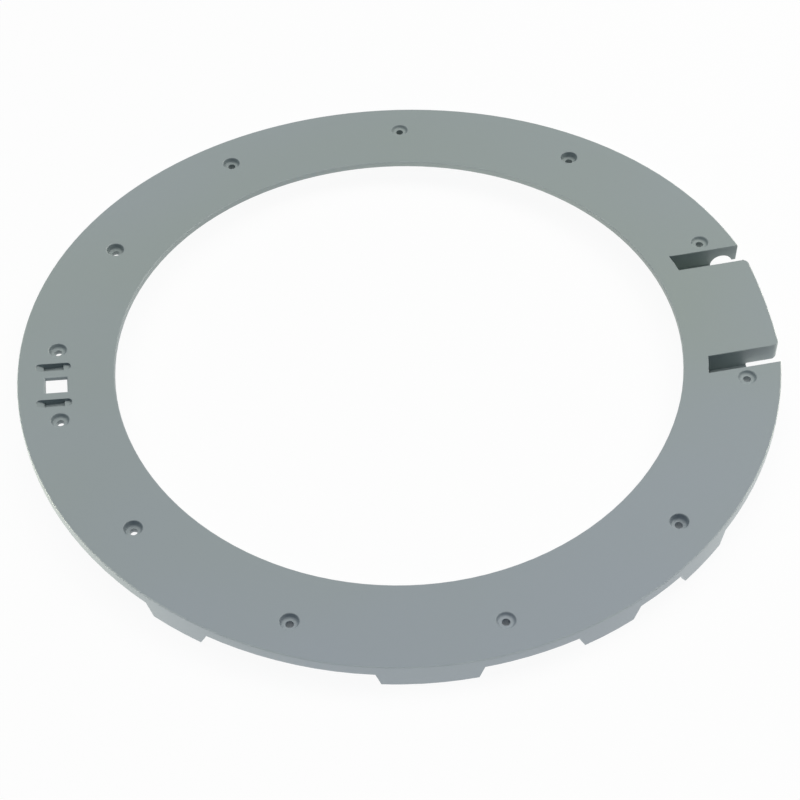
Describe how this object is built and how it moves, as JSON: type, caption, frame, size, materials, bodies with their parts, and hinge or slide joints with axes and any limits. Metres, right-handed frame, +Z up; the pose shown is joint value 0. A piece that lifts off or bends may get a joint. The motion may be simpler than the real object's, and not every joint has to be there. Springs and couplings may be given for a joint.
{
  "type": "washing machine inner door frame",
  "caption": "Bowed oval plastic ring, the inner frame of a front-loading washing machine's door, with recessed screw holes, a latch window, hinge slots and tabs under its rim.",
  "frame": {"origin": "on the axis of the round opening, at the level of the tabs' feet that the ring rests on", "axes": "+Z up out of the face with the screw recesses, +X from the latch side to the hinge side"},
  "size_m": [0.3911, 0.3856, 0.0218],
  "materials": {
    "grey_plastic": "satin moulded, bluish grey"
  },
  "bodies": {
    "root": {"inner_door_frame": "grey_plastic"}
  },
  "joints": []
}
